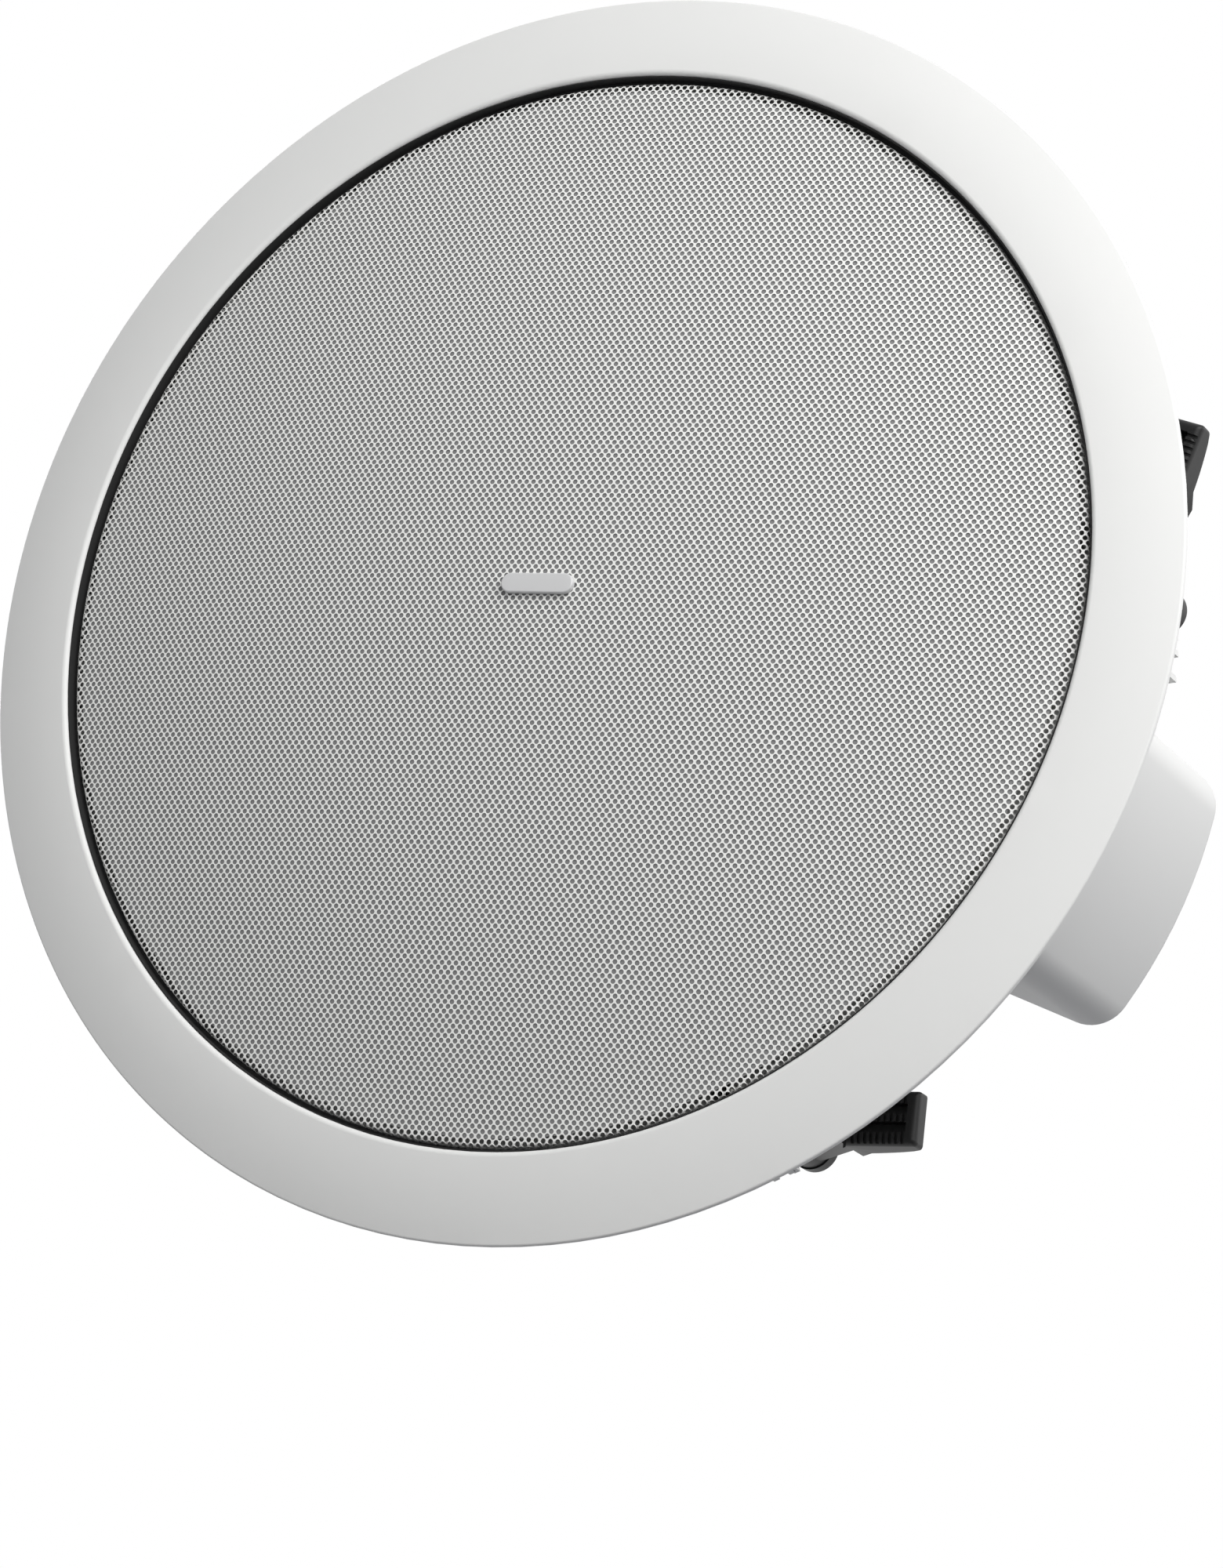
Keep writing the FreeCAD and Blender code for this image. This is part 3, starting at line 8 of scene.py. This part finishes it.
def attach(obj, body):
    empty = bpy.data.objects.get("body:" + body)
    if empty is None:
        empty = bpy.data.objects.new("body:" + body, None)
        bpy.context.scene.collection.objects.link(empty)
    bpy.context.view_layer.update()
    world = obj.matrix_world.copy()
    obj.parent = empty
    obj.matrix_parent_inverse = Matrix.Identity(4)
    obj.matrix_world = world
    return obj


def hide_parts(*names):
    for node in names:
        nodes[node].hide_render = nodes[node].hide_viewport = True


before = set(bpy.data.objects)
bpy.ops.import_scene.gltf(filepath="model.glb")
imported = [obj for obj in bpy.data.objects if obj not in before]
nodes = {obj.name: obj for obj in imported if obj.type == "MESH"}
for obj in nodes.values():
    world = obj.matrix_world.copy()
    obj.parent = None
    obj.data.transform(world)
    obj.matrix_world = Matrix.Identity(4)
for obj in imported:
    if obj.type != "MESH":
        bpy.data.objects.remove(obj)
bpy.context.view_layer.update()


# Baffle and rear can.
# One front moulding with bezel, recess and clamp towers, and one lobed can screwed to its back.
# Both are white ABS, moulded with a fine satin grain.
WELD_REACH = 1e-5
SOLID_CREASE = math.radians(32)


def linear(hex_colour):
    """Linear RGBA of an sRGB hex colour."""
    parts = [int(hex_colour[i:i + 2], 16) / 255 for i in (1, 3, 5)]
    return [c / 12.92 if c <= 0.04045 else ((c + 0.055) / 1.055) ** 2.4 for c in parts] + [1.0]


def add_node(owner, kind, inputs, **settings):
    """Add a node to a material or world, set its options, and set or link its inputs."""
    node = owner.node_tree.nodes.new(kind)
    for name, setting in settings.items():
        setattr(node, name, setting)
    for name, given in inputs.items():
        if isinstance(given, bpy.types.NodeSocket):
            owner.node_tree.links.new(given, node.inputs[name])
        else:
            node.inputs[name].default_value = given
    return node


def new_material(name, hex_colour, roughness, metallic=0.0, ior=1.5,
                 grain_mm=0.0, grain_depth_mm=0.0):
    """Plain surface of one colour, with a fine grain of a real size where one is given."""
    material = bpy.data.materials.new(name)
    material.use_nodes = True
    shader = material.node_tree.nodes["Principled BSDF"]
    shader.inputs["Base Color"].default_value = linear(hex_colour)
    shader.inputs["Roughness"].default_value = roughness
    shader.inputs["Metallic"].default_value = metallic
    shader.inputs["IOR"].default_value = ior
    if grain_mm:
        place = add_node(material, "ShaderNodeTexCoord", {})
        grain = add_node(material, "ShaderNodeTexNoise", {
            "Vector": place.outputs["Object"], "Scale": 1000 / grain_mm, "Detail": 2.0})
        bump = add_node(material, "ShaderNodeBump", {
            "Height": grain.outputs["Fac"], "Strength": 1.0, "Distance": grain_depth_mm / 1000})
        material.node_tree.links.new(bump.outputs["Normal"], shader.inputs["Normal"])
    return material


def finish_solid(node_name, material):
    """Give a solid its material and shade its facets as one smooth skin with crisp edges."""
    solid = nodes[node_name]
    mesh = solid.data
    mesh.materials.clear()
    mesh.materials.append(material)
    if "custom_normal" in mesh.attributes:
        mesh.attributes.remove(mesh.attributes["custom_normal"])
    mesh.shade_smooth()
    weld = solid.modifiers.new("weld", "WELD")
    weld.merge_threshold = WELD_REACH
    crease = solid.modifiers.new("crease", "EDGE_SPLIT")
    crease.split_angle = SOLID_CREASE


# satin moulding: a broad soft highlight; its grain is finer in truth and is drawn coarser
white_abs = new_material("white_moulded_abs", "#e9e9e7", 0.55, grain_mm=1.2, grain_depth_mm=0.01)
for name in ("baffle", "rear_can"):
    finish_solid(name, white_abs)


# Grille.
# Round steel sheet with a fine staggered perforation, pressed to a shallow dome,
# its edge turned back to grip in the recess, and powder coated white.
ROW_PITCH = 0.002408
ROW_SPACING = 0.001458
ROW_TURN = math.radians(-18.65)
ROW_START = np.array([0.07016, 0.01491])
SPARE_ROWS = 4
HOLE_RADIUS = 0.000805
HOLE_SIDES = 8
CELL_CORNERS = 4
CROWN = -0.0193
DOME_RADIUS = 0.9544
FOLD_START = 0.1712
RIM_RADIUS = 0.1724
RIM_BACK = 0.0077
LEAST_RADIUS = 1e-9
scene = bpy.context.scene


def dome_height(radius):
    """Height of the pressed sheet at a radius, as far as its fold."""
    return CROWN + DOME_RADIUS - np.sqrt(DOME_RADIUS ** 2 - radius ** 2)


def new_piece(name, points, triangles, material):
    """Mesh object from arrays of points and triangles."""
    mesh = bpy.data.meshes.new(name)
    mesh.vertices.add(len(points))
    mesh.vertices.foreach_set("co", np.asarray(points, np.float32).ravel())
    mesh.loops.add(triangles.size)
    mesh.loops.foreach_set("vertex_index", np.asarray(triangles, np.int32).ravel())
    mesh.polygons.add(len(triangles))
    mesh.polygons.foreach_set("loop_start", np.arange(0, triangles.size, 3, dtype=np.int32))
    mesh.update(calc_edges=True)
    mesh.validate()
    mesh.materials.append(material)
    piece = bpy.data.objects.new(name, mesh)
    scene.collection.objects.link(piece)
    return piece


# the flat blank: out to the fold, a quarter turn of fold, and the rim behind it
FOLD_RADIUS = RIM_RADIUS - FOLD_START
FOLD_END = FOLD_START + FOLD_RADIUS * math.pi / 2
FOLD_FRONT = float(dome_height(FOLD_START))
BLANK_RADIUS = FOLD_END + RIM_BACK - FOLD_FRONT - FOLD_RADIUS

# the holes' centres on the blank, every second row shifted by half a pitch
along = np.array([math.cos(ROW_TURN), math.sin(ROW_TURN)])
across = np.array([-along[1], along[0]])
row_count = int(2 * BLANK_RADIUS / ROW_SPACING) + SPARE_ROWS
hole_count = int(2 * BLANK_RADIUS / ROW_PITCH) + SPARE_ROWS
row, column = np.meshgrid(np.arange(-row_count, row_count), np.arange(-hole_count, hole_count))
row, column = row.ravel(), column.ravel()
centres = (ROW_START + np.outer((column + 0.5 * (row % 2)) * ROW_PITCH, along)
           + np.outer(row * ROW_SPACING, across))
reach = np.hypot(*centres.T)

# each hole sits in a rhombic cell of sheet: four corners, an eight-sided hole, twelve triangles
corner_shape = np.array([
    [ROW_PITCH / 2, 0], [0, ROW_SPACING], [-ROW_PITCH / 2, 0], [0, -ROW_SPACING]])
hole_turn = np.arange(HOLE_SIDES) * 2 * math.pi / HOLE_SIDES
hole_shape = HOLE_RADIUS * np.c_[np.cos(hole_turn), np.sin(hole_turn)]
cell = np.concatenate([corner_shape, hole_shape]) @ np.array([along, across])
around = []
for side in range(HOLE_SIDES):
    corner = (side + 1) // 2 % CELL_CORNERS
    side_start = CELL_CORNERS + side
    side_end = CELL_CORNERS + (side + 1) % HOLE_SIDES
    around.append((corner, side_end, side_start))
    if side % 2 == 0:
        around.append((corner, (corner + 1) % CELL_CORNERS, side_end))
around = np.array(around)

# powder coat: even white with a soft sheen, so the sheet is bright beside its holes
powder_coat = new_material("white_powder_coat", "#f7f7f4", 0.5)


def perforated_piece(name, chosen):
    """The chosen cells of the blank, pressed to the dome and folded back at its edge."""
    flat = (centres[chosen][:, None, :] + cell[None]).reshape(-1, 2)
    reached = np.hypot(*flat.T)
    on_dome = np.minimum(reached, FOLD_START)
    bend = np.clip((reached - FOLD_START) / FOLD_RADIUS, 0, math.pi / 2)
    radius = on_dome + FOLD_RADIUS * np.sin(bend)
    height = (dome_height(on_dome) + FOLD_RADIUS * (1 - np.cos(bend))
              + np.maximum(reached - FOLD_END, 0))
    points = np.c_[flat * (radius / np.maximum(reached, LEAST_RADIUS))[:, None], height]
    first = np.arange(chosen.sum()) * len(cell)
    triangles = (first[:, None, None] + around[None]).reshape(-1, 3)
    sheet = new_piece(name, points, triangles[:, ::-1], powder_coat)
    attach(sheet, "grille")
    return sheet


in_dome = reach < FOLD_START - ROW_SPACING
in_rim = ~in_dome & (reach < BLANK_RADIUS - ROW_SPACING)
perforated_piece("grille_sheet_a", in_dome & (centres[:, 1] < 0))
perforated_piece("grille_sheet_b", in_dome & (centres[:, 1] >= 0))
grille_rim = perforated_piece("grille_rim", in_rim)
grille_rim.data.shade_smooth()
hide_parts("grille")


# Recess seal and painted shade.
# Black foam lining of the recess: a floor strip behind the grille's rim and a thin wall round it.
# The floor strip is a seal that stops the grille from buzzing. The near black wall lining is
# painted shade: it stands where the gap is only in shadow, so the gap looks dark all round.
SEAL_INNER = 0.1726
SEAL_STEP = 0.1738
SEAL_OUTER = 0.1741
SEAL_FRONT = -0.0056
SEAL_FLOOR = -0.0016
SEAL_BACK = -0.0004
SEAL_SIDES = 256
TURNED_CREASE = math.radians(40)


def turned_piece(name, profile, material, sides):
    """Mesh turned about Z from a profile of (radius, height), smooth round the turn."""
    turn = np.linspace(0, 2 * math.pi, sides, endpoint=False)
    ring = np.arange(sides)
    after = (ring + 1) % sides
    points = [np.c_[r * np.cos(turn), r * np.sin(turn), np.full(sides, z)] for r, z in profile]
    triangles = []
    for step in range(len(profile) - 1):
        low, high = step * sides, (step + 1) * sides
        triangles.append(np.c_[low + ring, low + after, high + after])
        triangles.append(np.c_[low + ring, high + after, high + ring])
    piece = new_piece(name, np.concatenate(points), np.concatenate(triangles), material)
    piece.data.shade_smooth()
    piece.data.set_sharp_from_angle(angle=TURNED_CREASE)
    return piece


# closed cell foam: near black and dull. It is the real colour of the gaskets; on the recess
# lining it is painted shade, so the gap keeps one dark tone
foam_and_painted_shade = new_material("black_foam_and_painted_gap_shade", "#202020", 0.9)
seal_profile = [
    (SEAL_INNER, SEAL_BACK), (SEAL_INNER, SEAL_FLOOR), (SEAL_STEP, SEAL_FLOOR),
    (SEAL_STEP, SEAL_FRONT), (SEAL_OUTER, SEAL_FRONT), (SEAL_OUTER, SEAL_BACK),
    (SEAL_INNER, SEAL_BACK)]
# painted shade: the lining's near black wall stands in for the shadow in the recess gap
recess_seal_and_painted_shade = turned_piece("recess_seal_and_painted_shade", seal_profile, foam_and_painted_shade, SEAL_SIDES)
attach(recess_seal_and_painted_shade, "housing")


# Scrim.
# Acoustic cloth glued to the back of the grille, a little short of its rim,
# so the outermost holes look through to the dark recess.
SCRIM_EDGE = 0.1698
SCRIM_CENTRE_HOLE = 0.0004
SCRIM_DEPTH = 0.0004
SCRIM_RINGS = 24
SCRIM_SIDES = 128
# woven polyester: dull mid grey, which is what shows in the holes
scrim_cloth = new_material(
    "grey_woven_polyester", "#8e8e8e", 0.9, grain_mm=0.6, grain_depth_mm=0.05)
scrim_profile = [(r, float(dome_height(r)) + SCRIM_DEPTH)
                 for r in np.linspace(SCRIM_EDGE, SCRIM_CENTRE_HOLE, SCRIM_RINGS)]
scrim = turned_piece("scrim", scrim_profile, scrim_cloth, SCRIM_SIDES)
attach(scrim, "grille")
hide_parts("grille_scrim")


# Badge.
# Small raised plate with round ends, moulded in light grey ABS
# and glued to the middle of the grille.

# gloss moulding: a small clear highlight on a pale face
badge_moulding = new_material("light_grey_gloss_abs", "#d6d6d6", 0.25)
finish_solid("grille_badge", badge_moulding)


# Swing clamps.
# Glass-filled nylon arms on zinc plated screws: the screw turns, its nut draws the arm
# against the back of the ceiling board, and the ribbed pad grips.
CLAMP_COUNT = 5
# moulded nylon: near black, its glass fibre leaving a weak satin highlight, hence the low IOR
black_nylon = new_material(
    "black_moulded_nylon", "#1a1a1a", 0.46, ior=1.38, grain_mm=0.8, grain_depth_mm=0.01)
# zinc plating: light grey metal with blurred reflections
zinc_plate = new_material("zinc_plated_steel", "#b9b9b4", 0.35, metallic=1.0)
for clamp in range(1, CLAMP_COUNT + 1):
    finish_solid(f"clamp_arm_{clamp}", black_nylon)
    finish_solid(f"clamp_screw_{clamp}", zinc_plate)
    finish_solid(f"clamp_nut_{clamp}", zinc_plate)


# Cable gland.
# Black nylon body through the can's wall, with a compression nut outside that grips the cable
# and a locknut inside that holds the body to the wall.
for name in ("cable_gland", "gland_nut", "gland_locknut"):
    finish_solid(name, black_nylon)


# Woofer.
# Painted steel basket with a rubber surround, coated paper cone and cloth spider,
# and a ferrite motor between zinc plated steel plates.

# baked paint: black with a soft highlight
black_paint = new_material("black_painted_steel", "#1a1a1a", 0.4)
# moulded rubber: dull black
moulded_rubber = new_material("black_moulded_rubber", "#171717", 0.6)
# coated paper: dull black with a slight pulp grain
coated_paper = new_material(
    "black_coated_paper", "#222222", 0.65, grain_mm=2.0, grain_depth_mm=0.05)
# dipped cloth: tan and dull, with its threads showing
dipped_cloth = new_material(
    "resin_dipped_cloth", "#b08a4a", 0.8, grain_mm=0.8, grain_depth_mm=0.05)
# rolled aluminium: pale metal with blurred reflections
thin_aluminium = new_material("thin_aluminium", "#c8c8ca", 0.35, metallic=1.0)
# enamelled copper: warm reddish metal
enamelled_copper = new_material("enamelled_copper_wire", "#b06a3a", 0.4, metallic=1.0)
# pressed ferrite: dark grey, like unglazed pottery
pressed_ferrite = new_material("pressed_ferrite", "#2a2a2c", 0.55)
# phenolic board: flat tan, nearly matt
phenolic_board = new_material("phenolic_board", "#a58a55", 0.6)
for name, material in (
        ("basket", black_paint), ("driver_gasket", foam_and_painted_shade), ("can_gasket", foam_and_painted_shade),
        ("surround", moulded_rubber), ("cone", coated_paper), ("dust_cap", coated_paper),
        ("spider", dipped_cloth), ("coil_former", thin_aluminium),
        ("coil_winding", enamelled_copper), ("top_plate", zinc_plate),
        ("magnet", pressed_ferrite), ("yoke", zinc_plate), ("driver_tags", phenolic_board),
        ("driver_screws", black_paint), ("can_screws", zinc_plate)):
    finish_solid(name, material)


# Filter, wadding and safety eye.
# Board with inductor, capacitor and terminal block in the deep lobe, a fibre pad
# behind the magnet, and a steel eye riveted to the drum.
# shrink sleeve: glossy dark blue
shrink_sleeve = new_material("blue_shrink_sleeve", "#26305e", 0.3)
# moulded nylon: mid green with a soft highlight
green_nylon = new_material("green_moulded_nylon", "#2f7a45", 0.45)
# polyester fibre: white and soft, with tufts and no highlight
polyester_fibre = new_material(
    "white_polyester_fibre", "#e0e0da", 0.95, grain_mm=3.0, grain_depth_mm=0.6)
for name, material in (
        ("crossover_board", phenolic_board), ("inductor", enamelled_copper),
        ("filter_capacitor", shrink_sleeve), ("terminal_block", green_nylon),
        ("can_wadding", polyester_fibre), ("safety_eye", zinc_plate)):
    finish_solid(name, material)


# Floor.
# Pale and matt, far below the unit, which hangs as in a ceiling.
# It glows for the camera alone, so it looks pale from every side without lighting the unit.
FLOOR_REACH = 6
FLOOR_HEIGHT = -1.9
FLOOR_GLOW = 0.6
floor_paint = new_material("pale_matt_floor", "#e6e6e4", 0.9)
floor_seen = add_node(floor_paint, "ShaderNodeLightPath", {})
floor_glow = add_node(floor_paint, "ShaderNodeMath", {
    0: floor_seen.outputs["Is Camera Ray"], 1: FLOOR_GLOW}, operation="MULTIPLY")
floor_shader = floor_paint.node_tree.nodes["Principled BSDF"]
floor_shader.inputs["Emission Color"].default_value = linear("#ffffff")
floor_paint.node_tree.links.new(floor_glow.outputs[0], floor_shader.inputs["Emission Strength"])
floor_corners = [(x * FLOOR_REACH, y * FLOOR_REACH, 0)
                 for x, y in ((-1, -1), (1, -1), (1, 1), (-1, 1))]
floor_mesh = bpy.data.meshes.new("floor")
floor_mesh.from_pydata(floor_corners, [], [(0, 1, 2, 3)])
floor_mesh.materials.append(floor_paint)
floor = bpy.data.objects.new("floor", floor_mesh)
floor.location.z = FLOOR_HEIGHT
scene.collection.objects.link(floor)


# World.
# Plain white where it is seen, mirrored or looked at through something,
# and a dim cool light for everything else.
AMBIENT_STRENGTH = 0.2
BACKDROP_STRENGTH = 1.0
world = bpy.data.worlds.new("studio")
scene.world = world
world.use_nodes = True
ambient = world.node_tree.nodes["Background"]
ambient.inputs["Color"].default_value = linear("#f4f6ff")
ambient.inputs["Strength"].default_value = AMBIENT_STRENGTH
backdrop = add_node(world, "ShaderNodeBackground", {
    "Color": linear("#ffffff"), "Strength": BACKDROP_STRENGTH})
rays = add_node(world, "ShaderNodeLightPath", {})
seen = rays.outputs["Is Camera Ray"]
for ray in ("Is Glossy Ray", "Is Transmission Ray"):
    either = add_node(
        world, "ShaderNodeMath", {0: seen, 1: rays.outputs[ray]}, operation="MAXIMUM")
    seen = either.outputs[0]
choose = add_node(world, "ShaderNodeMixShader", {
    "Fac": seen, 1: ambient.outputs[0], 2: backdrop.outputs[0]})
world_output = world.node_tree.nodes["World Output"]
world.node_tree.links.new(choose.outputs[0], world_output.inputs["Surface"])


# Lamps and camera.
# The camera looks up at the unit from the photograph's side. The key lamp is in front of it,
# high on the right, a weaker one lights the lobe from the right, and one lights the back.
CAMERA_RIGHT = Vector((0.7989, -0.4320, 0.4185))
CAMERA_UP = Vector((-0.3280, -0.8961, -0.2989))
CAMERA_FORWARD = Vector((-0.5041, -0.1015, 0.8576))
CAMERA_PLACE = Vector((0.8599, 0.1910, -1.3781))
SENSOR_MM = 36
LENS_MM = 121.8
SHIFT_RIGHT = -0.0285
SHIFT_UP = -0.029
for name, aside, above, before, size, power in (
        ("key", 0.8, 1.2, 1.2, 1.4, 37.0),
        ("side", 2.0, 0.4, -0.4, 1.0, 10.0),
        ("back", -1.0, 0.4, -2.0, 1.6, 36.0)):
    lamp = bpy.data.lights.new(name, "AREA")
    lamp.size = size
    lamp.energy = power
    holder = bpy.data.objects.new(name, lamp)
    holder.location = CAMERA_RIGHT * aside + CAMERA_UP * above - CAMERA_FORWARD * before
    holder.rotation_euler = (-holder.location).to_track_quat("-Z", "Y").to_euler()
    scene.collection.objects.link(holder)

lens = bpy.data.cameras.new("camera")
lens.sensor_width = SENSOR_MM
lens.lens = LENS_MM
lens.shift_x = SHIFT_RIGHT
lens.shift_y = SHIFT_UP
camera = bpy.data.objects.new("camera", lens)
camera_turn = Matrix((CAMERA_RIGHT, CAMERA_UP, -CAMERA_FORWARD)).transposed()
camera.matrix_world = Matrix.Translation(CAMERA_PLACE) @ camera_turn.to_4x4()
scene.collection.objects.link(camera)
scene.camera = camera
scene.view_settings.view_transform = "Standard"
